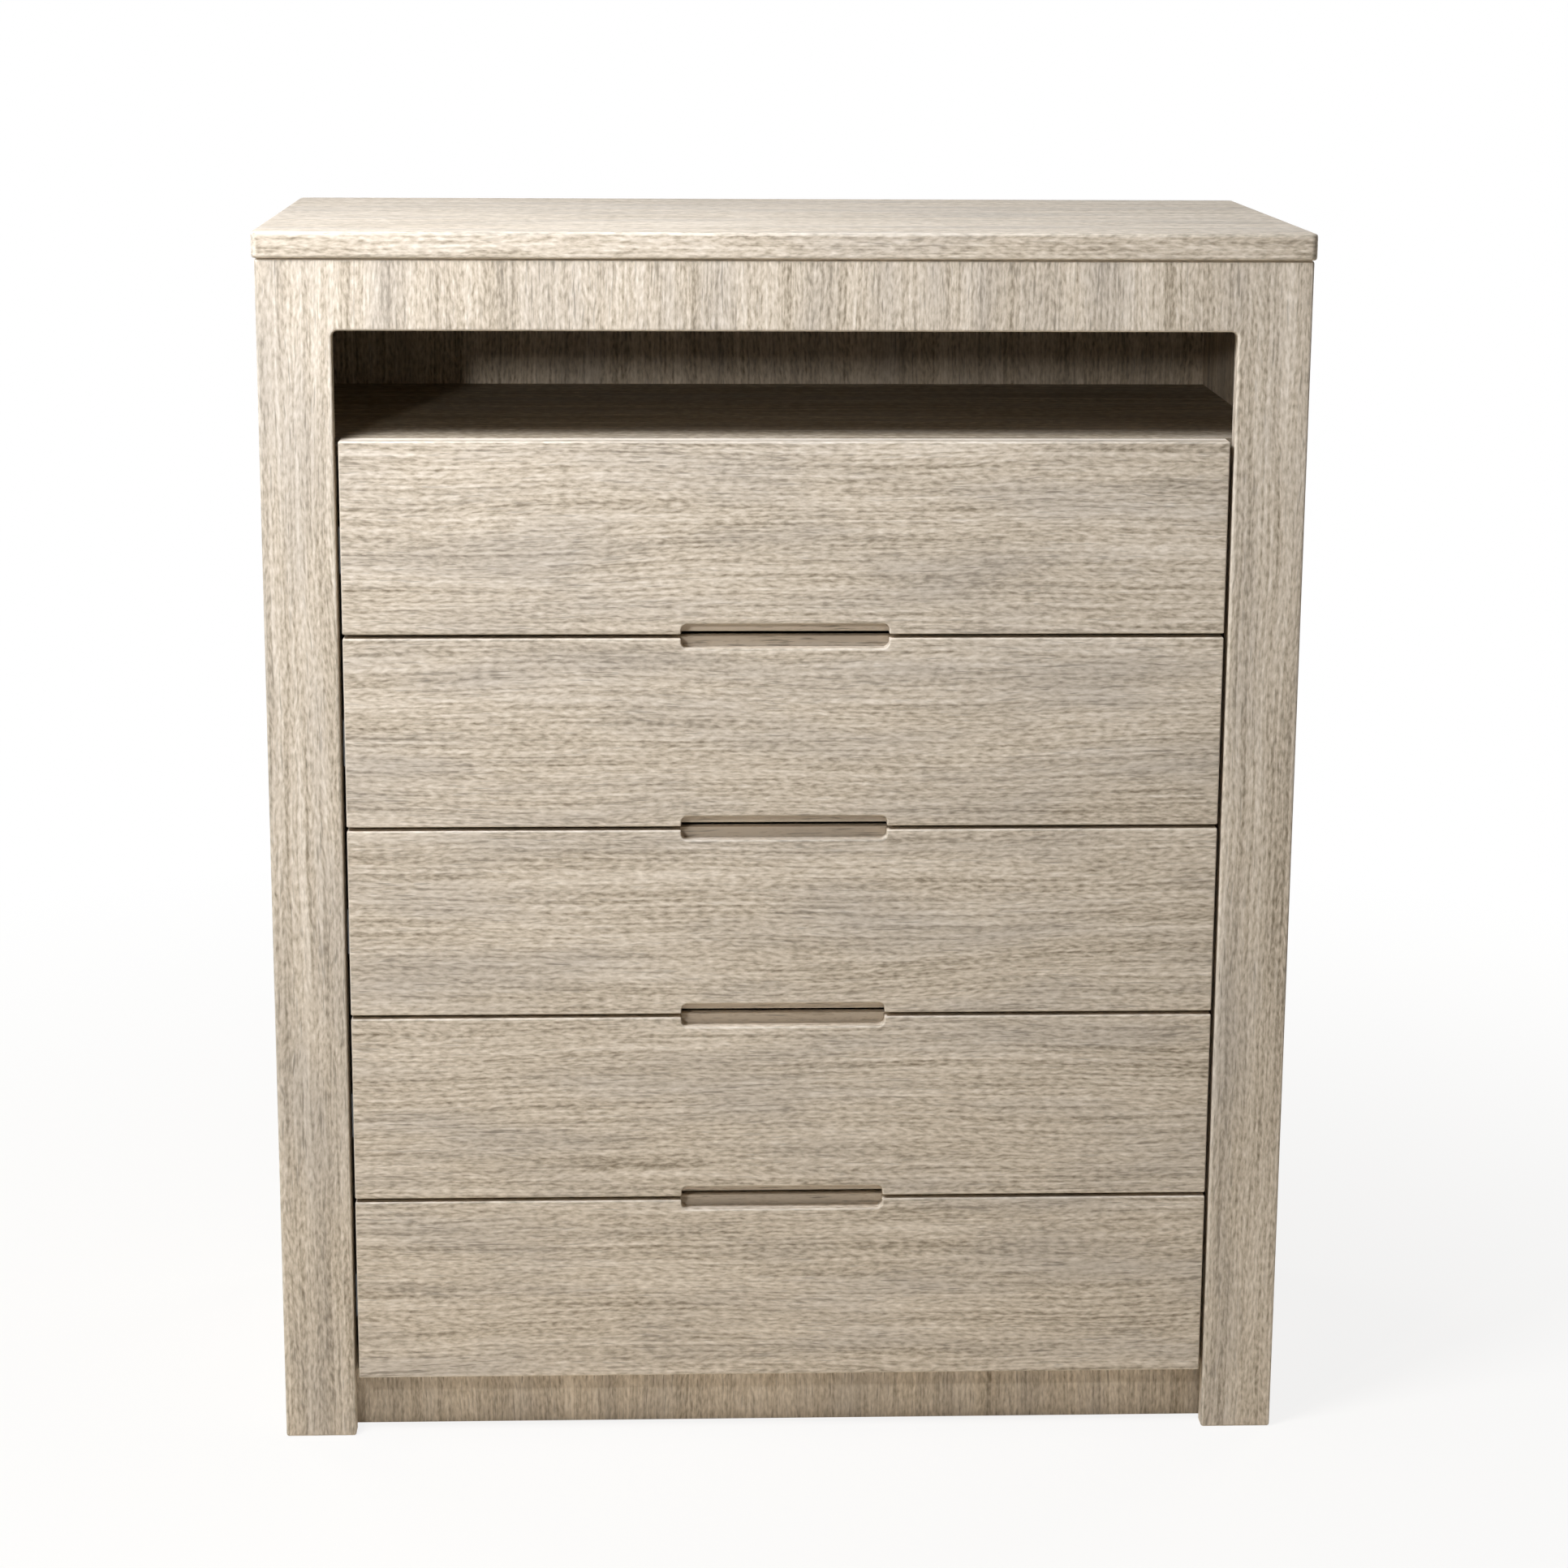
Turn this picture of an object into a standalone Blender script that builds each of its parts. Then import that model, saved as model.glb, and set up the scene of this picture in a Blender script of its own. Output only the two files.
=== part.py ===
"""Tallboy: a face-framed carcass with an open niche over five drawers on side runners.

Metres, +Z up. The front faces -Y, and the origin is on the floor under the middle of the top.
"""

import math

import bmesh
import bpy
from mathutils import Matrix, Vector

# Clearances
TOUCH = 0.0003  # between two pieces that are fixed to each other
RUN = 0.0003  # between two pieces that slide past each other in a runner
FRONT_GAP = 0.004  # between neighbouring drawer fronts
SIDE_GAP = 0.004  # between a drawer front and a stile
SHELF_GAP = 0.001  # between the niche shelf and the uppermost drawer box
RUNNER_WEB_GAP = 0.0015  # between a drawer runner's flanges and the cabinet runner's web
BOX_REAR_GAP = 0.035  # between the drawer boxes and the back panel
BOX_TOP_GAP = 0.011  # between the uppermost drawer box's sides and the niche shelf
RUNNER_SIDE_GAP = 0.003  # between a cabinet runner's flanges and the box side

# Top
TOP_WIDTH = 1.000
TOP_DEPTH = 0.500
TOP_THICKNESS = 0.025
TOP_OVERHANG = 0.003
TOP_CORNER_RADIUS = 0.008
TOP_EDGE_RADIUS = 0.003

# Front frame, from the floor up
TOE_HEIGHT = 0.062
FRONT_HEIGHT = 0.1852
DRAWER_COUNT = 5
NICHE_HEIGHT = 0.104
HEADER_HEIGHT = 0.067
STILE_WIDTH = 0.070
FRAME_THICKNESS = 0.020
FRAME_EDGE_RADIUS = 0.0025
OPENING_CORNER_RADIUS = 0.006

# Carcass boards
SIDE_THICKNESS = 0.025
SHELF_THICKNESS = 0.016
BOTTOM_THICKNESS = 0.016
BOTTOM_DROP = 0.002  # the bottom panel's top face lies this far below the lowest drawer front
BACK_THICKNESS = 0.006
BACK_RECESS = 0.008
PLINTH_THICKNESS = 0.016
PLINTH_RECESS = 0.033
RUNNER_PANEL_THICKNESS = 0.015
BOARD_EDGE_RADIUS = 0.001

# Drawer fronts and their finger slots
FRONT_THICKNESS = 0.016
FRONT_EDGE_RADIUS = 0.0015
SLOT_WIDTH = 0.200
SLOT_HEIGHT = 0.024
SLOT_CORNER_RADIUS = 0.006

# Drawer boxes
BOX_FRONT_THICKNESS = 0.012
BOX_FRONT_MARGIN = 0.0002  # the box front is smaller than the drawer front by this much all round
BOX_FRONT_EDGE_RADIUS = 0.001
BOX_SIDE_THICKNESS = 0.012
BOX_SIDE_LIFT = 0.014  # the box sides' lower edges above the drawer front's
BASE_THICKNESS = 0.004
BASE_LIFT = 0.010  # the base board's underside above the box sides' lower edges
GROOVE_DEPTH = 0.006

# Runners
RUNNER_SPACE = 0.0127  # from the runner panel to the box side
RUNNER_HEIGHT = 0.045
RUNNER_STEEL = 0.0015
RUNNER_LIFT = 0.040  # the cabinet runners' lower edges above the box sides'
RUNNER_SETBACK = 0.003  # behind the box front
RUNNER_REAR_SETBACK = 0.018  # ahead of the drawer boxes' rear faces

# Faceting
EDGE_SEGMENTS = 3
CORNER_SEGMENTS = 6
SMOOTH_ANGLE = math.radians(35)
CUT_PAST = 0.005  # how far a cutter runs past the face that it cuts

# Derived places
frame_width = TOP_WIDTH - 2 * TOP_OVERHANG
frame_half = frame_width / 2
opening_half = frame_half - STILE_WIDTH
front_half = opening_half - SIDE_GAP
front_y = -TOP_DEPTH / 2 + TOP_OVERHANG
rear_y = TOP_DEPTH / 2 - TOP_OVERHANG
frame_back_y = front_y + FRAME_THICKNESS
carcass_y = frame_back_y + TOUCH
inner_half = frame_half - SIDE_THICKNESS - TOUCH

pitch = FRONT_HEIGHT + FRONT_GAP
niche_floor_z = TOE_HEIGHT + DRAWER_COUNT * pitch - FRONT_GAP
niche_top_z = niche_floor_z + NICHE_HEIGHT
frame_height = niche_top_z + HEADER_HEIGHT
bottom_top_z = TOE_HEIGHT - BOTTOM_DROP

back_front_y = rear_y - BACK_RECESS - BACK_THICKNESS
boards_back_y = back_front_y - TOUCH
plinth_y = front_y + PLINTH_RECESS
bottom_y = plinth_y + PLINTH_THICKNESS + TOUCH
box_front_y = front_y + FRONT_THICKNESS + TOUCH
box_y = box_front_y + BOX_FRONT_THICKNESS + TOUCH
shelf_y = box_front_y + BOX_FRONT_THICKNESS + SHELF_GAP
runner_panel_top_z = niche_floor_z - SHELF_THICKNESS - TOUCH

box_half = opening_half - RUNNER_SPACE
box_inner_half = box_half - BOX_SIDE_THICKNESS
box_side_height = FRONT_HEIGHT - BOX_SIDE_LIFT - SHELF_THICKNESS - BOX_TOP_GAP
cabinet_runner_depth = RUNNER_SPACE - TOUCH - RUNNER_SIDE_GAP
drawer_runner_height = RUNNER_HEIGHT - 2 * (RUNNER_STEEL + RUN)
drawer_runner_depth = RUNNER_SPACE - 2 * TOUCH - RUNNER_STEEL - RUNNER_WEB_GAP
box_back_y = back_front_y - BOX_REAR_GAP
runner_y = box_front_y + BOX_FRONT_THICKNESS + RUNNER_SETBACK
runner_length = box_back_y - RUNNER_REAR_SETBACK - runner_y


def clear_scene():
    for obj in list(bpy.data.objects):
        bpy.data.objects.remove(obj)


def new_collection(name):
    collection = bpy.data.collections.new(name)
    bpy.context.scene.collection.children.link(collection)
    return collection


clear_scene()
tallboy = new_collection("tallboy")
cutters = new_collection("cutters")


def finish(name, colour, roughness, metallic=0.0):
    """A plain finish for one kind of sub-part."""
    material = bpy.data.materials.new(name)
    material.use_nodes = True
    shader = material.node_tree.nodes["Principled BSDF"]
    shader.inputs["Base Color"].default_value = (*colour, 1.0)
    shader.inputs["Roughness"].default_value = roughness
    shader.inputs["Metallic"].default_value = metallic
    return material


top_finish = finish("top panel, washed oak", (0.60, 0.54, 0.45), 0.50)
frame_finish = finish("front frame, washed oak", (0.54, 0.48, 0.39), 0.55)
side_finish = finish("side panel, washed oak", (0.54, 0.48, 0.39), 0.55)
shelf_finish = finish("niche shelf, washed oak", (0.50, 0.44, 0.36), 0.55)
plinth_finish = finish("plinth, washed oak", (0.46, 0.41, 0.33), 0.55)
back_finish = finish("back panel, washed oak", (0.48, 0.43, 0.35), 0.60)
board_finish = finish("carcass board, washed oak", (0.50, 0.45, 0.37), 0.60)
front_finish = finish("drawer front, washed oak", (0.55, 0.49, 0.40), 0.50)
box_finish = finish("drawer box, washed oak", (0.50, 0.44, 0.35), 0.60)
base_finish = finish("drawer base, white board", (0.70, 0.68, 0.63), 0.65)
steel_finish = finish("runner, zinc plated steel", (0.62, 0.63, 0.64), 0.35, 1.0)


def place(name, data, location, material, parent=None):
    """An object at a place in the world, under a drawer's empty where it has one."""
    obj = bpy.data.objects.new(name, data)
    tallboy.objects.link(obj)
    data.materials.clear()
    data.materials.append(material)
    obj.parent = parent
    obj.location = Vector(location) - (parent.location if parent else Vector())
    return obj


def block_mesh(name, size, rounded_axis=None, radius=0.0):
    """A box mesh about the origin, its edges along one axis rounded if a radius is given."""
    mesh = bpy.data.meshes.new(name)
    bm = bmesh.new()
    bmesh.ops.create_cube(bm, size=1.0, matrix=Matrix.Diagonal((*size, 1.0)))
    if radius:
        along = [
            edge
            for edge in bm.edges
            if abs((edge.verts[0].co - edge.verts[1].co).normalized()[rounded_axis]) > 0.5
        ]
        bmesh.ops.bevel(
            bm,
            geom=along,
            offset=radius,
            offset_type="OFFSET",
            segments=CORNER_SEGMENTS,
            profile=0.5,
            affect="EDGES",
        )
    bm.to_mesh(mesh)
    bm.free()
    return mesh


def smooth(obj):
    obj.data.shade_smooth()
    obj.data.set_sharp_from_angle(angle=SMOOTH_ANGLE)


def round_edges(obj, radius):
    """Round every sharp edge of a board."""
    bevel = obj.modifiers.new("rounded edges", "BEVEL")
    bevel.width = radius
    bevel.segments = EDGE_SEGMENTS
    bevel.limit_method = "ANGLE"
    bevel.angle_limit = SMOOTH_ANGLE
    bevel.use_clamp_overlap = False


def board(name, low, high, material, parent=None, radius=0.0):
    """A flat board between two corners in the world."""
    low, high = Vector(low), Vector(high)
    mesh = block_mesh(name, high - low)
    obj = place(name, mesh, (low + high) / 2, material, parent)
    if radius:
        round_edges(obj, radius)
        smooth(obj)
    return obj


def cutter(name, mesh, location):
    """A helper solid that is cut out of boards and is no part of the tallboy."""
    obj = bpy.data.objects.new(name, mesh)
    cutters.objects.link(obj)
    obj.location = location
    obj.hide_render = True
    obj.display_type = "WIRE"
    return obj


def cut(obj, tool):
    """Cut a tool out of a board, before the board's edges are rounded."""
    boolean = obj.modifiers.new(tool.name, "BOOLEAN")
    boolean.operation = "DIFFERENCE"
    boolean.solver = "EXACT"
    boolean.object = tool


def make_top():
    """The top: rounded at its plan corners, then along all its rims."""
    size = (TOP_WIDTH, TOP_DEPTH, TOP_THICKNESS)
    mesh = block_mesh("top_panel", size, rounded_axis=2, radius=TOP_CORNER_RADIUS)
    centre_z = frame_height + TOUCH + TOP_THICKNESS / 2
    top = place("top_panel", mesh, (0, 0, centre_z), top_finish)
    round_edges(top, TOP_EDGE_RADIUS)
    smooth(top)


def make_front_frame():
    """Header and stiles in one board: a full rectangle less the opening, which runs out at the floor."""
    size = (frame_width, FRAME_THICKNESS, frame_height)
    mesh = block_mesh("front_frame", size)
    middle_y = front_y + FRAME_THICKNESS / 2
    frame = place("front_frame", mesh, (0, middle_y, frame_height / 2), frame_finish)

    opening_height = niche_top_z + CUT_PAST + OPENING_CORNER_RADIUS
    opening_size = (2 * opening_half, FRAME_THICKNESS + 2 * CUT_PAST, opening_height)
    opening = block_mesh("opening", opening_size, rounded_axis=1, radius=OPENING_CORNER_RADIUS)
    tool = cutter("opening", opening, (0, middle_y, niche_top_z - opening_height / 2))
    cut(frame, tool)
    round_edges(frame, FRAME_EDGE_RADIUS)
    smooth(frame)


def make_carcass():
    """The boards behind the frame, each fixed to its neighbours."""
    for side, label in ((-1, "left"), (1, "right")):
        xs = sorted((side * frame_half, side * (frame_half - SIDE_THICKNESS)))
        board(
            f"side_panel_{label}",
            (xs[0], carcass_y, 0),
            (xs[1], rear_y, frame_height),
            side_finish,
            radius=BOARD_EDGE_RADIUS,
        )
        xs = sorted((side * opening_half, side * (opening_half + RUNNER_PANEL_THICKNESS)))
        board(
            f"runner_panel_{label}",
            (xs[0], carcass_y, bottom_top_z + TOUCH),
            (xs[1], boards_back_y, runner_panel_top_z),
            board_finish,
        )
    board(
        "plinth",
        (-inner_half, plinth_y, 0),
        (inner_half, plinth_y + PLINTH_THICKNESS, bottom_top_z),
        plinth_finish,
        radius=BOARD_EDGE_RADIUS,
    )
    board(
        "bottom_panel",
        (-inner_half, bottom_y, bottom_top_z - BOTTOM_THICKNESS),
        (inner_half, boards_back_y, bottom_top_z),
        board_finish,
    )
    board(
        "niche_shelf",
        (-inner_half, shelf_y, niche_floor_z - SHELF_THICKNESS),
        (inner_half, boards_back_y, niche_floor_z),
        shelf_finish,
    )
    board(
        "back_panel",
        (-inner_half, back_front_y, bottom_top_z - BOTTOM_THICKNESS),
        (inner_half, back_front_y + BACK_THICKNESS, frame_height),
        back_finish,
    )


def runner_mesh(name, height, depth, opens):
    """A steel channel along its local Z: a web with a flange at each edge. It opens towards opens * X."""
    web, flange = opens * RUNNER_STEEL, opens * depth
    half, inner = height / 2, height / 2 - RUNNER_STEEL
    outline = (
        (0, -half),
        (flange, -half),
        (flange, -inner),
        (web, -inner),
        (web, inner),
        (flange, inner),
        (flange, half),
        (0, half),
    )
    curve = bpy.data.curves.new(name, "CURVE")
    curve.dimensions = "2D"
    curve.fill_mode = "BOTH"
    curve.extrude = runner_length / 2
    spline = curve.splines.new("POLY")
    spline.points.add(len(outline) - 1)
    for point, (x, y) in zip(spline.points, outline):
        point.co = (x, y, 0, 1)
    spline.use_cyclic_u = True
    return curve


def make_runners(number, parent, side_bottom_z):
    """A cabinet runner on each runner panel and a drawer runner on each box side, one inside the other."""
    middle_y = runner_y + runner_length / 2
    middle_z = side_bottom_z + RUNNER_LIFT + RUNNER_HEIGHT / 2
    for side, label in ((-1, "left"), (1, "right")):
        name = f"cabinet_runner_{number}_{label}"
        channel = runner_mesh(name, RUNNER_HEIGHT, cabinet_runner_depth, -side)
        web_x = side * (opening_half - TOUCH)
        cabinet = place(name, channel, (web_x, middle_y, middle_z), steel_finish)

        name = f"drawer_{number}_runner_{label}"
        channel = runner_mesh(name, drawer_runner_height, drawer_runner_depth, side)
        web_x = side * (box_half + TOUCH)
        moving = place(name, channel, (web_x, middle_y, middle_z), steel_finish, parent)
        for runner in (cabinet, moving):
            runner.rotation_euler = (math.pi / 2, 0, 0)


def make_slot_cutters():
    """One finger slot for each joint between two fronts, half of it in the upper one and half in the lower."""
    slots = []
    for joint in range(1, DRAWER_COUNT):
        size = (SLOT_WIDTH, FRONT_THICKNESS + 2 * CUT_PAST, SLOT_HEIGHT)
        name = f"finger_slot_{joint}"
        mesh = block_mesh(name, size, rounded_axis=1, radius=SLOT_CORNER_RADIUS)
        joint_z = niche_floor_z - joint * pitch + FRONT_GAP / 2
        slots.append(cutter(name, mesh, (0, front_y + FRONT_THICKNESS / 2, joint_z)))
    return slots


def make_drawer(number, slots):
    """One drawer, numbered from the top, under an empty on the line that it slides along."""
    front_bottom_z = niche_floor_z - number * pitch + FRONT_GAP
    slide = bpy.data.objects.new(f"drawer_{number}_slide", None)
    tallboy.objects.link(slide)
    slide.location = (0, front_y, front_bottom_z + FRONT_HEIGHT / 2)

    front = board(
        f"drawer_{number}_front",
        (-front_half, front_y, front_bottom_z),
        (front_half, front_y + FRONT_THICKNESS, front_bottom_z + FRONT_HEIGHT),
        front_finish,
        slide,
    )
    above, below = number - 2, number - 1
    for joint in (above, below):
        if 0 <= joint < len(slots):
            cut(front, slots[joint])
    round_edges(front, FRONT_EDGE_RADIUS)
    smooth(front)

    side_bottom_z = front_bottom_z + BOX_SIDE_LIFT
    side_top_z = side_bottom_z + box_side_height
    box_front_half = front_half - BOX_FRONT_MARGIN
    box_front = board(
        f"drawer_{number}_box_front",
        (-box_front_half, box_front_y, front_bottom_z + BOX_FRONT_MARGIN),
        (
            box_front_half,
            box_front_y + BOX_FRONT_THICKNESS,
            front_bottom_z + FRONT_HEIGHT - BOX_FRONT_MARGIN,
        ),
        box_finish,
        slide,
        BOX_FRONT_EDGE_RADIUS,
    )
    walls = [box_front]
    for side, label in ((-1, "left"), (1, "right")):
        xs = sorted((side * box_half, side * box_inner_half))
        wall = board(
            f"drawer_{number}_box_side_{label}",
            (xs[0], box_y, side_bottom_z),
            (xs[1], box_back_y, side_top_z),
            box_finish,
            slide,
        )
        walls.append(wall)
    back_half = box_inner_half - TOUCH
    box_back = board(
        f"drawer_{number}_box_back",
        (-back_half, box_back_y - BOX_SIDE_THICKNESS, side_bottom_z),
        (back_half, box_back_y, side_top_z),
        box_finish,
        slide,
    )
    walls.append(box_back)

    base_half = box_inner_half + GROOVE_DEPTH - TOUCH
    base_z = side_bottom_z + BASE_LIFT
    base_low = Vector((-base_half, box_y - GROOVE_DEPTH, base_z))
    base_back_y = box_back_y - BOX_SIDE_THICKNESS + GROOVE_DEPTH
    base_high = Vector((base_half, base_back_y, base_z + BASE_THICKNESS))
    board(f"drawer_{number}_base", base_low, base_high, base_finish, slide)

    groove_size = base_high - base_low + Vector((TOUCH, TOUCH, TOUCH)) * 2
    groove_mesh = block_mesh(f"base_groove_{number}", groove_size)
    groove = cutter(f"base_groove_{number}", groove_mesh, (base_low + base_high) / 2)
    for wall in walls:
        cut(wall, groove)
    make_runners(number, slide, side_bottom_z)


make_top()
make_front_frame()
make_carcass()
finger_slots = make_slot_cutters()
for drawer in range(1, DRAWER_COUNT + 1):
    make_drawer(drawer, finger_slots)
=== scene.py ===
"""Tallboy in grey-washed oak foil: an open niche over five drawers on side runners.

Metres, +Z up, the front faces -Y. The sections follow the piece as it is put together.
"""

import math

import bmesh
import bpy
from mathutils import Matrix, Vector


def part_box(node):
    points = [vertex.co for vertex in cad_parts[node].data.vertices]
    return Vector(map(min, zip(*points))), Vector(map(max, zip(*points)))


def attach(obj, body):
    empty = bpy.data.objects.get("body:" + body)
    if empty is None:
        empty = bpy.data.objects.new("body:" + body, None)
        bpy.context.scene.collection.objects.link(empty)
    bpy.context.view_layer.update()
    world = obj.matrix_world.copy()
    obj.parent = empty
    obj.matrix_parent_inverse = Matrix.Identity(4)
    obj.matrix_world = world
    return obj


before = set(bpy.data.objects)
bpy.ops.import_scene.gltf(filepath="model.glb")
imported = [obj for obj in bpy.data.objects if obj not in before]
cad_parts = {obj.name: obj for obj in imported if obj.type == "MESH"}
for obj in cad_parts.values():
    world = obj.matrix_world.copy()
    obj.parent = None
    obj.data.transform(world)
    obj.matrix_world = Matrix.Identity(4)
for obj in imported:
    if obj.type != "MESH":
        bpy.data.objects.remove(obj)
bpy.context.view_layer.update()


# Side panels
# Two 25 mm chipboard sides, faced and edge banded with grey-washed oak foil whose grain runs up
# and down. They stand on the floor behind the stiles, dowelled to the frame and the top.

MM = 0.001
AXES = "XYZ"
SIDES = {"left": -1, "right": 1}

# The print's colours: the oak's dark, middle and pale tones, each with its place on the scale of
# tone, and then the wash, the pores and a painted highlight on rounded edges
DARK_OAK = (0.05, "85765F")
MIDDLE_OAK = (0.5, "CAB9A1")
PALE_OAK = (0.95, "ECDDC8")
WASH_GREY = "A69D93"
PORE_BROWN = "8A7E6D"
EDGE_HIGHLIGHT_CREAM = "EADFCB"

# How far the grain wanders to the side, slowly and finely, and how far rows of marks are staggered
SWAY = 28 * MM
SHIVER = 2 * MM
STAGGER = 24 * MM

# A face turned this much towards the grain's axis is an end, whose band has its grain lengthwise
END_FACING = 0.7

# The embossing, and how deep the pores lie in it, as a share of its relief
RELIEF = {"Strength": 0.35, "Distance": 0.25 * MM}
PORE_DEPTH = 0.6
RESIN_IOR = 1.46


def linear(code):
    """A colour written as sRGB hex, as the linear values that a shader reads."""
    shares = [int(code[i : i + 2], 16) / 255 for i in (0, 2, 4)]
    return [c / 12.92 if c <= 0.04045 else ((c + 0.055) / 1.055) ** 2.4 for c in shares] + [1.0]


def add(tree, kind, inputs, **settings):
    """A node with its settings, and its inputs set to values or linked to sockets or nodes."""
    made = tree.nodes.new("ShaderNode" + kind)
    for name, value in settings.items():
        setattr(made, name, value)
    for key, value in inputs.items():
        named = [socket for socket in made.inputs if socket.enabled and socket.name == key]
        socket = named[0] if named else made.inputs[key]
        if isinstance(value, bpy.types.Node):
            value = next(output for output in value.outputs if output.enabled)
        if isinstance(value, bpy.types.NodeSocket):
            tree.links.new(value, socket)
        else:
            socket.default_value = value
    return made


def new_material(name):
    material = bpy.data.materials.new(name)
    material.use_nodes = True
    material.node_tree.nodes.clear()
    return material, material.node_tree


def oak_print(tree, grain, ends, lay, banding, middle=0.5):
    """Colour, roughness and height of the foil on one board.

    The print's grain runs along the axis named grain, and along the axis named ends on the edge
    bands of the board's two ends. lay moves the board to its own part of the print, banding is how
    much its broad bands of tone stand out, and middle is its mean tone, from 0, dark, to 1, pale.
    """
    here = add(tree, "TexCoord", {})
    facing = add(tree, "VectorMath", {0: here.outputs["Normal"]}, operation="ABSOLUTE")
    side = add(tree, "SeparateXYZ", {0: facing})
    at = add(tree, "SeparateXYZ", {0: here.outputs["Object"]})
    through = next(axis for axis in AXES if axis not in (grain, ends))
    on_end = {0: side.outputs[grain], 1: END_FACING}
    on_end = add(tree, "Math", on_end, operation="GREATER_THAN")
    along = {"Factor": on_end, "A": at.outputs[grain], "B": at.outputs[ends]}
    along = add(tree, "Mix", along)
    across = {"Factor": on_end, "A": at.outputs[ends], "B": at.outputs[grain]}
    across = add(tree, "Mix", across)
    place = add(tree, "CombineXYZ", {"X": along, "Y": across, "Z": at.outputs[through]})
    place = add(tree, "VectorMath", {0: place, 1: lay}, operation="ADD")

    # Each layer of the print: the length and the width of its marks in millimetres, its detail,
    # and how much it adds to the tone. Sway and shiver only bend the grain, and stagger shifts
    # neighbouring rows along it, so that their marks never line up. Streaks, fibres and pores are
    # drawn 2 to 3.4 mm wide, coarser than the print's own, so that they show.
    layers = {
        "sway": (420, 130, 1.0, 0.0),
        "shiver": (45, 18, 2.0, 0.0),
        "stagger": (160, 12, 1.0, 0.0),
        "bands": (520, 24, 2.0, banding),
        "streaks": (260, 3.4, 3.0, 1.1),
        "fibres": (8.5, 2.8, 2.5, 1.3),
        "pores": (26, 2.0, 1.0, 0.0),
        "patches": (230, 45, 2.0, 0.0),
    }
    drawn, tone = {}, middle
    for layer, (length, width, detail, weight) in layers.items():
        if layer == "bands":
            # The layers that move the grain are drawn by now, and all the others follow it
            bend = {0: drawn["sway"], 1: SWAY, 2: -SWAY / 2}
            bend = add(tree, "Math", bend, operation="MULTIPLY_ADD")
            slide = add(tree, "Math", {0: drawn["stagger"], 1: STAGGER}, operation="MULTIPLY")
            bend = {0: drawn["shiver"], 1: SHIVER, 2: bend}
            bend = add(tree, "Math", bend, operation="MULTIPLY_ADD")
            shift = add(tree, "CombineXYZ", {"X": slide, "Y": bend})
            place = add(tree, "VectorMath", {0: place, 1: shift}, operation="ADD")
        size = (1 / (length * MM), 1 / (width * MM), 1 / (width * MM))
        cells = add(tree, "VectorMath", {0: place, 1: size}, operation="MULTIPLY")
        drawn[layer] = add(tree, "TexNoise", {"Vector": cells, "Scale": 1.0, "Detail": detail})
        if weight:
            share = {"Value": drawn[layer], "To Min": -weight / 2, "To Max": weight / 2}
            share = add(tree, "MapRange", share, clamp=False)
            tone = add(tree, "Math", {0: share, 1: tone}, operation="ADD")
    colour = add(tree, "ValToRGB", {"Fac": tone})
    ramp = colour.color_ramp.elements
    ramp[0].position, ramp[0].color = DARK_OAK[0], linear(DARK_OAK[1])
    ramp[1].position, ramp[1].color = PALE_OAK[0], linear(PALE_OAK[1])
    ramp.new(MIDDLE_OAK[0]).color = linear(MIDDLE_OAK[1])

    # The wash greys some patches
    greyed = {"Value": drawn["patches"], "From Min": 0.45, "From Max": 0.7, "To Max": 0.3}
    washed = {"Factor": add(tree, "MapRange", greyed), "A": colour, "B": linear(WASH_GREY)}
    colour = add(tree, "Mix", washed, data_type="RGBA")

    # The pores are short dark dashes that gather in those patches
    pores = add(tree, "MapRange", {"Value": drawn["pores"], "From Min": 0.6, "From Max": 0.72})
    gather = {"Value": drawn["patches"], "From Min": 0.35, "From Max": 0.65}
    gather |= {"To Min": 0.2, "To Max": 0.8}
    dots = {0: pores, 1: add(tree, "MapRange", gather)}
    dots = add(tree, "Math", dots, operation="MULTIPLY")
    dotted = {"Factor": dots, "A": colour, "B": linear(PORE_BROWN)}
    colour = add(tree, "Mix", dotted, data_type="RGBA")

    # A rounded edge faces along none of the axes; a painted highlight pales the print there
    square = {0: side.outputs["X"], 1: side.outputs["Y"]}
    square = add(tree, "Math", square, operation="MAXIMUM")
    square = add(tree, "Math", {0: square, 1: side.outputs["Z"]}, operation="MAXIMUM")
    edge = {"Value": square, "From Min": 0.99, "From Max": 0.97, "To Max": 0.15}
    painted_highlight = {"Factor": add(tree, "MapRange", edge), "A": colour, "B": linear(EDGE_HIGHLIGHT_CREAM)}
    colour = add(tree, "Mix", painted_highlight, data_type="RGBA")

    sheen = add(tree, "MapRange", {"Value": tone, "To Min": 0.66, "To Max": 0.54})
    height = add(tree, "Math", {0: dots, 1: -PORE_DEPTH, 2: tone}, operation="MULTIPLY_ADD")
    return colour, sheen, height


def washed_oak(name, grain, ends, lay, banding=0.35, middle=0.5):
    """Oak grain printed and embossed on a matt foil, with a grey wash lying in the pores.

    It gives the eye fine dashes along the grain, soft streaks and darker bands, a warm cream
    ground with grey patches, a painted highlight on rounded edges, and a satin sheen.
    """
    material, tree = new_material(name)
    colour, sheen, height = oak_print(tree, grain, ends, lay, banding, middle)
    bump = add(tree, "Bump", {"Height": height, **RELIEF})
    foil = {"Base Color": colour, "Roughness": sheen, "IOR": RESIN_IOR, "Normal": bump}
    add(tree, "OutputMaterial", {"Surface": add(tree, "BsdfPrincipled", foil)})
    return material


def dress(node, material):
    """Give a carried-over board its finish."""
    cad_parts[node].material_slots[0].material = material


for number, side in enumerate(SIDES):
    lay = (0.37 * number, 0.21, 0.9)
    side_foil = washed_oak(f"washed oak foil, {side} side", "Z", "Y", lay, banding=0.5)
    dress(f"side_panel_{side}", side_foil)


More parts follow.
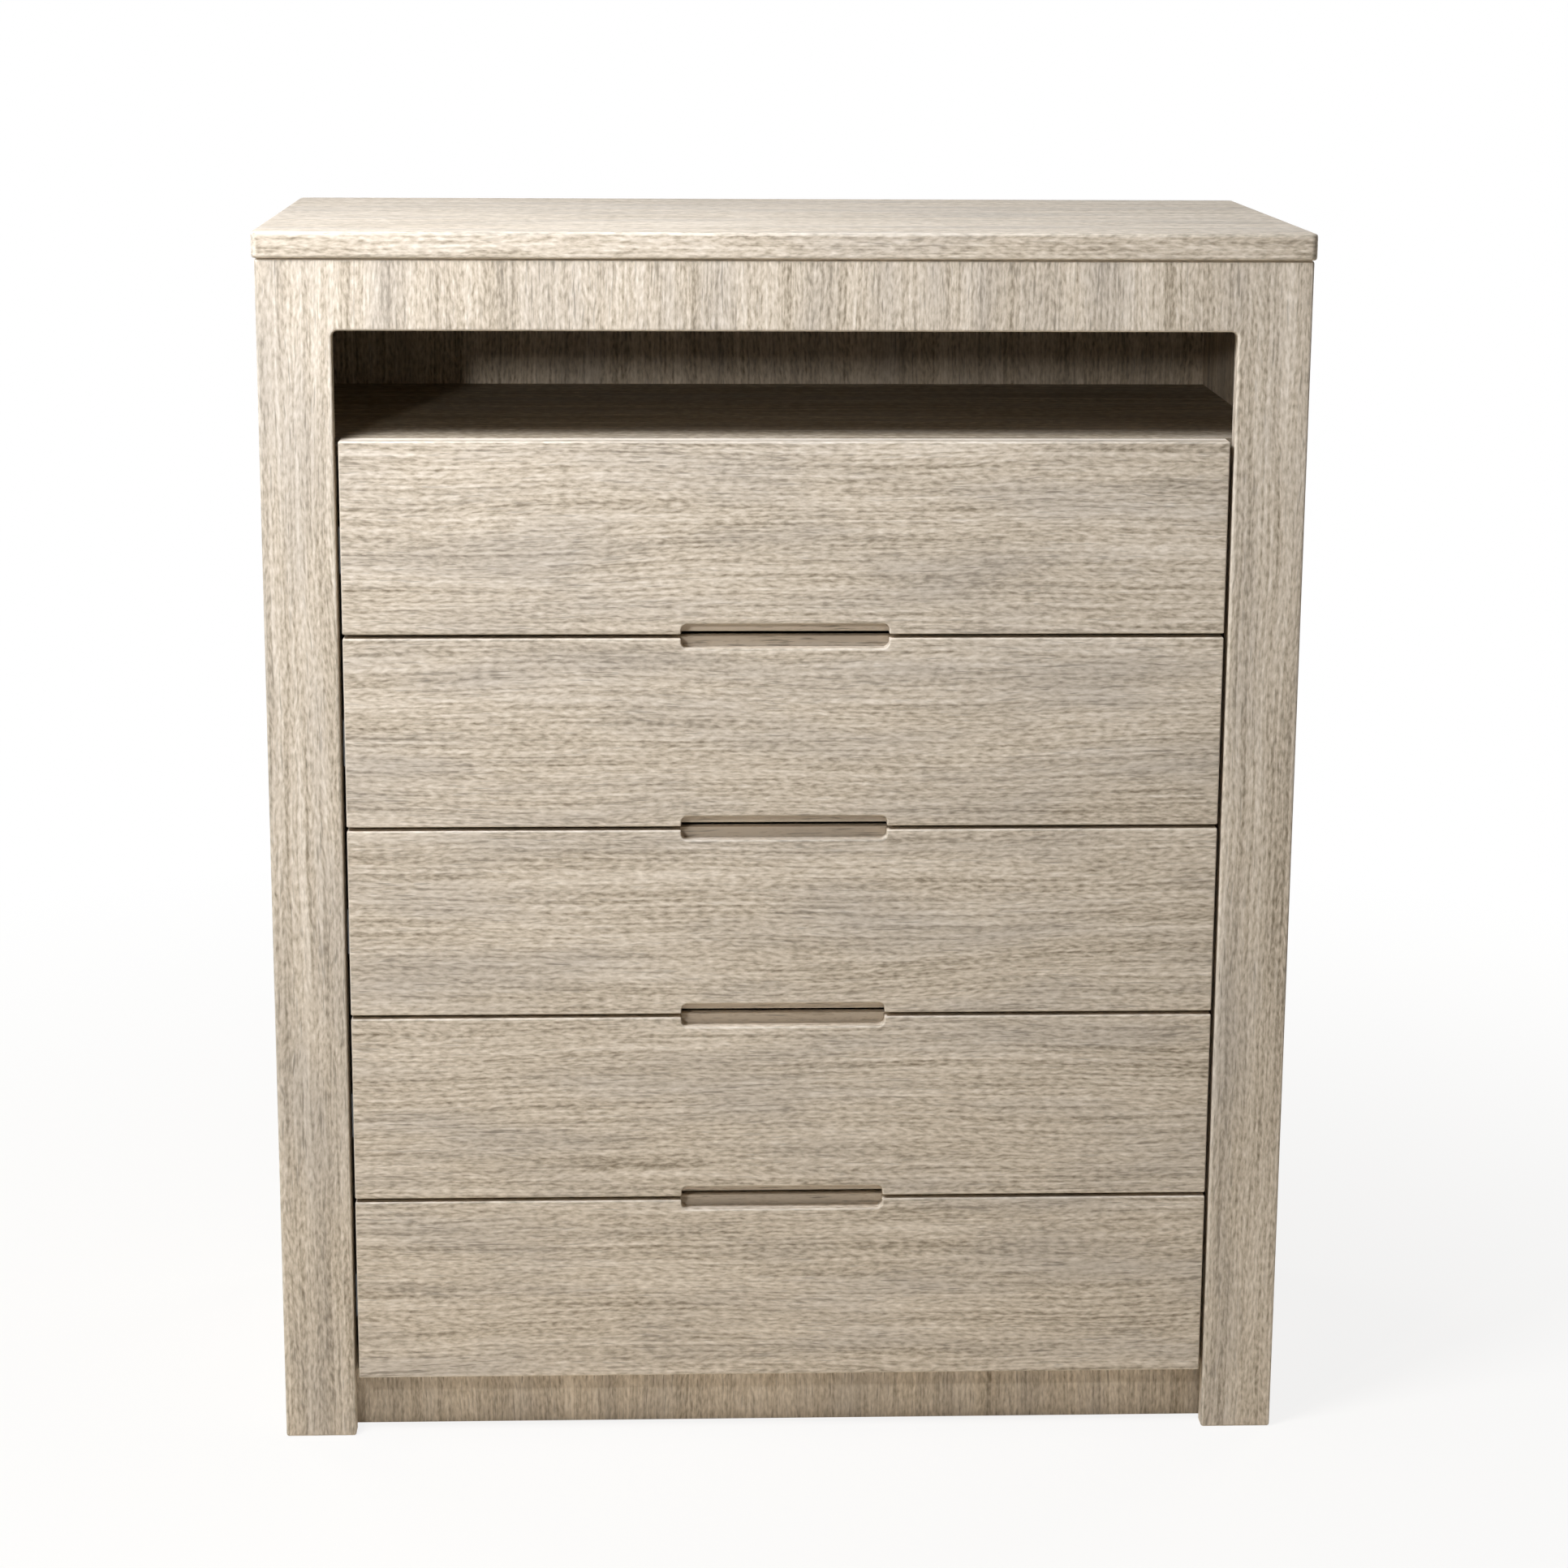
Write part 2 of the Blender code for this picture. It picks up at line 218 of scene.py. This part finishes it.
# Runner panels and bottom panel
# Chipboard in the same foil. The two upright panels stand flush with the frame's opening and carry
# the runners, and the bottom panel ties the sides together behind the plinth.

inner_foil = washed_oak("washed oak foil, inner boards", "Z", "Y", (1.9, 0.4, 0.2))
for side in SIDES:
    dress(f"runner_panel_{side}", inner_foil)
dress("bottom_panel", washed_oak("washed oak foil, bottom panel", "X", "Y", (2.3, 0.7, 0.4)))


# Plinth
# A kick board set 33 mm back between the legs, cut across the sheet so that its grain stands
# upright. Its piece of the print is a pale one with strong bands.

lay = (3.1, 0.3, 0.6)
plinth_foil = washed_oak("washed oak foil, plinth", "Z", "X", lay, banding=0.6, middle=0.6)
dress("plinth", plinth_foil)


# Niche shelf
# The floor of the open niche: a 16 mm board, foil on both faces and a band on its front edge, level
# with the top of the uppermost drawer front. Its foil is darkened, painted shade for the deep
# niche.

# middle=0.15 darkens the shelf's foil as painted shade in the niche
shaded_shelf_foil = washed_oak("washed oak foil, niche shelf, painted shade", "X", "Y", (4.2, 0.5, 0.1), middle=0.15)
dress("niche_shelf", shaded_shelf_foil)


# Back panel
# Hardboard let in behind the carcass. Its inner face has the oak foil with upright grain, and its
# rear face is bare, held by flat-headed pins in the shelf, the bottom panel and the runner panels.

PIN_RADIUS = 2.6 * MM
PIN_HEIGHT = 0.8 * MM
PIN_CROWN = 0.85 * PIN_RADIUS
PIN_SEGMENTS = 14
PIN_SPACING = 0.11
SMOOTH_BELOW = math.radians(35)

# Hardboard's mottle, and its fibres, drawn coarser than they are so that they show
MOTTLE = 70 * MM
FLECK = 3 * MM

# A face of the board turned this much along the bare side's axis is bare
BARE_FACING = 0.5

# Zinc's clouding, and the rolled steel's lines, drawn coarser than they are so that they show
CLOUD = 9 * MM
ROLL_LINE = 0.8 * MM
ROLL_LENGTH = 60 * MM
ROLL_RELIEF = {"Strength": 0.2, "Distance": 0.05 * MM}


def hardboard(tree):
    """Colour, roughness and height of hardboard as it leaves the press.

    It gives the eye a brown, mottled, matt face with stray darker fibres.
    """
    here = add(tree, "TexCoord", {}).outputs["Object"]
    mottle = add(tree, "TexNoise", {"Vector": here, "Scale": 1 / MOTTLE, "Detail": 2.0})
    flecks = add(tree, "TexNoise", {"Vector": here, "Scale": 1 / FLECK, "Detail": 3.0})
    both = add(tree, "Math", {0: mottle, 1: flecks}, operation="ADD")
    shade = add(tree, "MapRange", {"Value": both, "From Min": 0.65, "From Max": 1.35})
    ground = {"Factor": shade, "A": linear("8E7356"), "B": linear("AC9270")}
    colour = add(tree, "Mix", ground, data_type="RGBA")
    dull = add(tree, "MapRange", {"Value": mottle, "To Min": 0.85, "To Max": 0.65})
    return colour, dull, flecks


def faced_hardboard(name, face, bare_axis, bare_sign):
    """Hardboard with a facing on one side. It is bare on the side that looks along bare_axis."""
    material, tree = new_material(name)
    looking = add(tree, "TexCoord", {}).outputs["Normal"]
    looking = add(tree, "SeparateXYZ", {0: looking}).outputs[bare_axis]
    bare = add(tree, "Math", {0: looking, 1: bare_sign}, operation="MULTIPLY")
    bare = add(tree, "Math", {0: bare, 1: BARE_FACING}, operation="GREATER_THAN")
    mixed = []
    for kind, faced, plain in zip(("RGBA", "FLOAT", "FLOAT"), face(tree), hardboard(tree)):
        halves = {"Factor": bare, "A": faced, "B": plain}
        mixed.append(add(tree, "Mix", halves, data_type=kind))
    colour, dull, height = mixed
    bump = add(tree, "Bump", {"Height": height, **RELIEF})
    board = {"Base Color": colour, "Roughness": dull, "IOR": RESIN_IOR, "Normal": bump}
    add(tree, "OutputMaterial", {"Surface": add(tree, "BsdfPrincipled", board)})
    return material


def oak_face(tree):
    return oak_print(tree, "Z", "X", (5.3, 0.2, 0.8), banding=0.6)


dress("back_panel", faced_hardboard("hardboard with a washed oak face", oak_face, "Y", 1))


def bright_zinc(name, rolled_along):
    """Bright zinc plate on rolled steel.

    It gives the eye a light grey metal, faintly cloudy, with fine lines along the roll.
    """
    material, tree = new_material(name)
    here = add(tree, "TexCoord", {}).outputs["Object"]
    cloud = add(tree, "TexNoise", {"Vector": here, "Scale": 1 / CLOUD, "Detail": 3.0})
    size = [1 / (ROLL_LENGTH if axis == rolled_along else ROLL_LINE) for axis in AXES]
    lines = add(tree, "VectorMath", {0: here, 1: size}, operation="MULTIPLY")
    lines = add(tree, "TexNoise", {"Vector": lines, "Scale": 1.0, "Detail": 1.0})
    tint = {"Factor": cloud, "A": linear("A4A8AC"), "B": linear("CFD2D4")}
    colour = add(tree, "Mix", tint, data_type="RGBA")
    dull = add(tree, "MapRange", {"Value": cloud, "To Min": 0.26, "To Max": 0.44})
    bump = add(tree, "Bump", {"Height": lines, **ROLL_RELIEF})
    plate = {"Base Color": colour, "Metallic": 1.0, "Roughness": dull, "Normal": bump}
    add(tree, "OutputMaterial", {"Surface": add(tree, "BsdfPrincipled", plate)})
    return material


def turned_head(bm, centre, out, profile, segments):
    """A head turned about its axis, its profile (radius, height) pairs from its seat to its crown.

    The crown is left open, and its ring of corners comes back with the head's turn.
    """
    turn = Vector(out).to_track_quat("Z", "Y").to_matrix()
    rings = []
    for radius, height in profile:
        ring = []
        for step in range(segments):
            angle = 2 * math.pi * step / segments
            local = Vector((radius * math.cos(angle), radius * math.sin(angle), height))
            ring.append(bm.verts.new(Vector(centre) + turn @ local))
        rings.append(ring)
    for low, high in zip(rings, rings[1:]):
        for step in range(segments):
            after = (step + 1) % segments
            bm.faces.new((low[step], low[after], high[after], high[step]))
    bm.faces.new(list(reversed(rings[0])))
    return rings[-1], turn


def piece_from(bm, name, body, material):
    """A finished mesh as a piece of its own, riding on a body."""
    mesh = bpy.data.meshes.new(name)
    bmesh.ops.recalc_face_normals(bm, faces=bm.faces)
    bm.to_mesh(mesh)
    bm.free()
    mesh.materials.append(material)
    mesh.shade_smooth()
    mesh.set_sharp_from_angle(angle=SMOOTH_BELOW)
    piece = bpy.data.objects.new(name, mesh)
    bpy.context.scene.collection.objects.link(piece)
    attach(piece, body)


def middle_of(node, axis):
    """The middle of a board along an axis, by the axis's number."""
    return sum(corner[axis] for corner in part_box(node)) / 2


zinc_head = bright_zinc("bright zinc plate, heads", "Z")
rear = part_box("back_panel")[1][1]
shelf_z = middle_of("niche_shelf", 2)
bottom_z = middle_of("bottom_panel", 2)
panel_x = middle_of("runner_panel_right", 0)
row_steps = round(2 * panel_x / PIN_SPACING)
column_steps = round((shelf_z - bottom_z) / PIN_SPACING)
run, rise = 2 * panel_x / row_steps, (shelf_z - bottom_z) / column_steps
places = []
for z in (bottom_z, shelf_z):
    places += [(run * step - panel_x, rear, z) for step in range(row_steps + 1)]
for x in (-panel_x, panel_x):
    places += [(x, rear, bottom_z + rise * step) for step in range(1, column_steps)]
flat_head = [(PIN_RADIUS, 0), (PIN_RADIUS, PIN_HEIGHT / 2), (PIN_CROWN, PIN_HEIGHT)]
bm = bmesh.new()
for place in places:
    crown, _ = turned_head(bm, place, (0, 1, 0), flat_head, PIN_SEGMENTS)
    bm.faces.new(crown)
piece_from(bm, "back_panel_pins", "carcass", zinc_head)


# Front frame
# One inverted U of 20 mm board: the header and the two stiles, which run down to the floor as legs.
# The foil is wrapped round its eased edges, and its grain stands upright all over.

lay = (6.4, 0.8, 0.3)
dress("front_frame", washed_oak("washed oak foil, front frame", "Z", "X", lay, banding=0.6))


# Top
# A 25 mm board with rounded corners, its grain from left to right and its edges wrapped in the same
# foil. It lies on the frame and the sides and stands 3 mm proud of them.

dress("top_panel", washed_oak("washed oak foil, top", "X", "Y", (7.5, 0.1, 0.7)))


# Cabinet runners
# Zinc plated steel channels, one pair for each drawer, each fixed to its runner panel by three
# pan-head screws.

STEEL = 1.5 * MM
HEAD_RADIUS = 3.5 * MM
HEAD_HEIGHT = 2.0 * MM
HEAD_SEGMENTS = 20
RECESS_LENGTH = 3.4 * MM
RECESS_WIDTH = 0.9 * MM
RECESS_DEPTH = 1.2 * MM
RECESS_TAPER = 0.8

# The domed head from seat to crown, as shares of its radius and height
DOME = ((1.0, 0.0), (1.0, 0.3), (0.95, 0.6), (0.82, 0.86), (0.65, 1.0))

# The screws' places, as shares of the channel's length from its front
CABINET_RUNNER_SCREWS = (0.09, 0.5, 0.92)


def pan_head(bm, centre, out):
    """A pan-head screw seated on a face: a domed head with a crossed recess."""
    profile = [(radius * HEAD_RADIUS, height * HEAD_HEIGHT) for radius, height in DOME]
    crown, turn = turned_head(bm, centre, out, profile, HEAD_SEGMENTS)
    long, short = RECESS_LENGTH / 2, RECESS_WIDTH / 2
    arm = ((long, -short), (long, short), (short, short))
    mouth, bottom = [], []
    for step in range(4):
        spin = Matrix.Rotation(step * math.pi / 2, 2)
        for corner in arm:
            x, y = spin @ Vector(corner)
            mouth.append(bm.verts.new(Vector(centre) + turn @ Vector((x, y, HEAD_HEIGHT))))
            deep = Vector((RECESS_TAPER * x, RECESS_TAPER * y, HEAD_HEIGHT - RECESS_DEPTH))
            bottom.append(bm.verts.new(Vector(centre) + turn @ deep))
    rims = []
    for ring in (crown, mouth):
        for first, second in zip(ring, ring[1:] + ring[:1]):
            rims.append(bm.edges.get((first, second)) or bm.edges.new((first, second)))
    bmesh.ops.triangle_fill(bm, edges=rims, use_beauty=True)
    for step in range(len(mouth)):
        after = (step + 1) % len(mouth)
        bm.faces.new((mouth[step], mouth[after], bottom[after], bottom[step]))
    bm.faces.new(bottom)


def screws(name, places, out, body):
    """Screws of one job as one piece, their heads looking along out."""
    bm = bmesh.new()
    for place in places:
        pan_head(bm, place, out)
    piece_from(bm, name, body, zinc_head)


def screw_runner(runner, shares, out, body):
    """Screws along the web of a channel, their heads looking to the right for 1, left for -1."""
    low, high = (Vector(corner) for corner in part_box(runner))
    web = (low.x if out > 0 else high.x) + out * STEEL
    length, middle = high.y - low.y, (low.z + high.z) / 2
    spots = [(web, low.y + share * length, middle) for share in shares]
    screws(f"{runner}_screws", spots, (out, 0, 0), body)


zinc_channel = bright_zinc("bright zinc plate, runners", "Y")
drawers = range(1, 6)
for drawer in drawers:
    for side, sign in SIDES.items():
        runner = f"cabinet_runner_{drawer}_{side}"
        dress(runner, zinc_channel)
        screw_runner(runner, CABINET_RUNNER_SCREWS, -sign, "carcass")


# Drawer boxes
# Sides, back and box front in 12 mm board with the oak foil. The box front, paler as painted light,
# shows in the shade behind the finger slots, and four screws through it hold the drawer front.

FRONT_SCREW_X = 0.3
FRONT_SCREW_HEIGHTS = (0.035, 0.105)

box_foil = washed_oak("washed oak foil, box backs", "X", "Z", (8.2, 0.6, 0.2))
box_side_foil = washed_oak("washed oak foil, box sides", "Y", "Z", (8.8, 0.9, 0.5))
# middle=1.0 makes the box fronts paler, painted light in the shade of the finger slots
box_front_painted_light_foil = washed_oak("washed oak foil, box fronts, painted light", "X", "Z", (8.5, 0.3, 0.7), middle=1.0)
for drawer in drawers:
    dress(f"drawer_{drawer}_box_front", box_front_painted_light_foil)
    dress(f"drawer_{drawer}_box_back", box_foil)
    for side in SIDES:
        dress(f"drawer_{drawer}_box_side_{side}", box_side_foil)
    inner_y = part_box(f"drawer_{drawer}_box_front")[1][1]
    base_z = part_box(f"drawer_{drawer}_base")[1][2]
    spots = []
    for x in (-FRONT_SCREW_X, FRONT_SCREW_X):
        spots += [(x, inner_y, base_z + height) for height in FRONT_SCREW_HEIGHTS]
    screws(f"drawer_{drawer}_front_screws", spots, (0, 1, 0), f"drawer_{drawer}")


# Drawer bases
# Thin hardboard let into grooves round the box. Its smooth face, in pale paper, is inside the
# drawer, and its underside is bare.

PAPER_CLOUD = 60 * MM
PAPER_SPECK = 1.8 * MM


def pale_face(tree):
    """Colour, roughness and height of a printed paper face: warm off-white, faintly clouded."""
    here = add(tree, "TexCoord", {}).outputs["Object"]
    cloud = add(tree, "TexNoise", {"Vector": here, "Scale": 1 / PAPER_CLOUD, "Detail": 3.0})
    speck = add(tree, "TexNoise", {"Vector": here, "Scale": 1 / PAPER_SPECK, "Detail": 1.0})
    both = add(tree, "Math", {0: cloud, 1: speck}, operation="ADD")
    shade = add(tree, "MapRange", {"Value": both, "From Min": 0.75, "From Max": 1.25})
    ground = {"Factor": shade, "A": linear("D0CABE"), "B": linear("DDD8CD")}
    colour = add(tree, "Mix", ground, data_type="RGBA")
    dull = add(tree, "MapRange", {"Value": cloud, "To Min": 0.5, "To Max": 0.4})
    return colour, dull, speck


base_board = faced_hardboard("hardboard with a pale paper face", pale_face, "Z", -1)
for drawer in drawers:
    dress(f"drawer_{drawer}_base", base_board)


# Drawer runners
# The inner channels of the same zinc plated steel, which slide within the cabinet runners. Three
# screws hold each to its box side.

DRAWER_RUNNER_SCREWS = (0.16, 0.55, 0.84)

for drawer in drawers:
    for side, sign in SIDES.items():
        runner = f"drawer_{drawer}_runner_{side}"
        dress(runner, zinc_channel)
        screw_runner(runner, DRAWER_RUNNER_SCREWS, sign, f"drawer_{drawer}")


# Drawer fronts
# Five 16 mm fronts inset in the frame with 4 mm gaps, their grain from left to right, with a finger
# slot cut half into each of two neighbours. Each comes from its own part of the sheet, so that no
# pattern runs on from one front to the next.

for drawer in drawers:
    lay = (1.3 * drawer, 0.43 * drawer, 0.2)
    dress(f"drawer_{drawer}_front", washed_oak(f"washed oak foil, front {drawer}", "X", "Z", lay))


# Floor
# A plain floor in matt paint. The camera, gloss and glass see it nearly at full white, with what is
# left of the object's shadow. All other light meets the warm white of the paint.

FLOOR_REACH = 15.0
FLOOR_DROP = 0.2 * MM

# How much of what the camera sees is plain white: from the first share, at the first distance from
# the object's middle, to all of it at the second distance, where the shadow has faded out
SHADOW_ENDS = {"From Min": 0.6, "From Max": 2.2}
WHITE_SHARE = {"To Min": 0.85, "To Max": 1.0}


def seen(tree):
    """1 for a ray of the camera, of gloss or through glass, and 0 for a ray of other light."""
    ray = add(tree, "LightPath", {})
    direct = {0: ray.outputs["Is Camera Ray"], 1: ray.outputs["Is Glossy Ray"]}
    direct = add(tree, "Math", direct, operation="ADD")
    return add(tree, "Math", {0: direct, 1: ray.outputs["Is Transmission Ray"]}, operation="ADD")


def matt_paint(name):
    """Matt floor paint in a warm white, which the camera sees fade to plain white.

    It gives the eye a soft faint shadow round the object and nothing further out.
    """
    material, tree = new_material(name)
    by_eye = seen(tree)
    here = add(tree, "TexCoord", {}).outputs["Object"]
    away = add(tree, "VectorMath", {0: here}, operation="LENGTH").outputs["Value"]
    share = add(tree, "MapRange", {"Value": away, **SHADOW_ENDS, **WHITE_SHARE})
    share = add(tree, "Math", {0: by_eye, 1: share}, operation="MULTIPLY")
    paint = add(tree, "BsdfDiffuse", {"Color": linear("E8DDCA")})
    glow = add(tree, "Emission", {"Color": linear("FFFFFF"), "Strength": 1.0})
    add(tree, "OutputMaterial", {"Surface": add(tree, "MixShader", {0: share, 1: paint, 2: glow})})
    return material


bm = bmesh.new()
bmesh.ops.create_grid(bm, x_segments=1, y_segments=1, size=FLOOR_REACH)
floor_mesh = bpy.data.meshes.new("floor")
bm.to_mesh(floor_mesh)
bm.free()
floor_mesh.materials.append(matt_paint("matt white floor paint"))
floor = bpy.data.objects.new("floor", floor_mesh)
floor.location.z = -FLOOR_DROP
bpy.context.scene.collection.objects.link(floor)


# Light
# A large soft key high on the left in front, a small lamp lower down on the left, which lights the
# back of the niche, and two soft lamps behind for the sides and the back.

FRONT_AIM = (0, -0.25, 0.7)
REAR_AIM = (0, 0, 0.6)
ROOM_LEVEL = 0.02


def lamp(name, at, aim, size, watts, colour="FFFFFF"):
    data = bpy.data.lights.new(name, "AREA")
    data.shape = "SQUARE"
    data.size = size
    data.energy = watts
    data.color = linear(colour)[:3]
    lit = bpy.data.objects.new(name, data)
    bpy.context.scene.collection.objects.link(lit)
    lit.location = at
    lit.rotation_euler = (Vector(aim) - Vector(at)).to_track_quat("-Z", "Y").to_euler()


lamp("key", (-1.0, -1.15, 2.55), FRONT_AIM, 0.7, 81, "E8F0FF")
lamp("niche lamp", (-0.8, -1.85, 1.4), FRONT_AIM, 0.1, 7.5)
lamp("rear left", (-2.2, 2.0, 1.1), REAR_AIM, 1.2, 34)
lamp("rear right", (2.2, 2.0, 1.1), REAR_AIM, 1.2, 34)

# The camera, gloss and glass see plain white all round, which hardly lights the object
world = bpy.data.worlds.new("studio")
bpy.context.scene.world = world
world.use_nodes = True
tree = world.node_tree
tree.nodes.clear()
level = add(tree, "MapRange", {"Value": seen(tree), "To Min": ROOM_LEVEL, "To Max": 1.0})
white = {"Color": linear("FFFFFF"), "Strength": level}
add(tree, "OutputWorld", {"Surface": add(tree, "Background", white)})


# Camera
# It stands 3.3 m in front of the frame, a little to the left, and looks down on the middle. Its
# place, turn and lens were fitted to the corners of the boards.

CAMERA_PLACE = (-0.1375, -3.5625, 1.4390)
YAW, PITCH, ROLL = (math.radians(angle) for angle in (2.367, -13.021, 0.336))
FOCAL_LENGTH = 80.79
SENSOR_WIDTH = 36.0

flat_ahead = (math.sin(YAW) * math.cos(PITCH), math.cos(YAW) * math.cos(PITCH))
ahead = Vector((*flat_ahead, math.sin(PITCH)))
level_right = ahead.cross(Vector((0, 0, 1))).normalized()
right = level_right * math.cos(ROLL) + level_right.cross(ahead) * math.sin(ROLL)
turned = Matrix((right, right.cross(ahead), -ahead)).transposed().to_4x4()
lens = bpy.data.cameras.new("camera")
lens.sensor_width = SENSOR_WIDTH
lens.lens = FOCAL_LENGTH
camera = bpy.data.objects.new("camera", lens)
bpy.context.scene.collection.objects.link(camera)
camera.matrix_world = Matrix.Translation(CAMERA_PLACE) @ turned
bpy.context.scene.camera = camera
bpy.context.scene.view_settings.view_transform = "Standard"
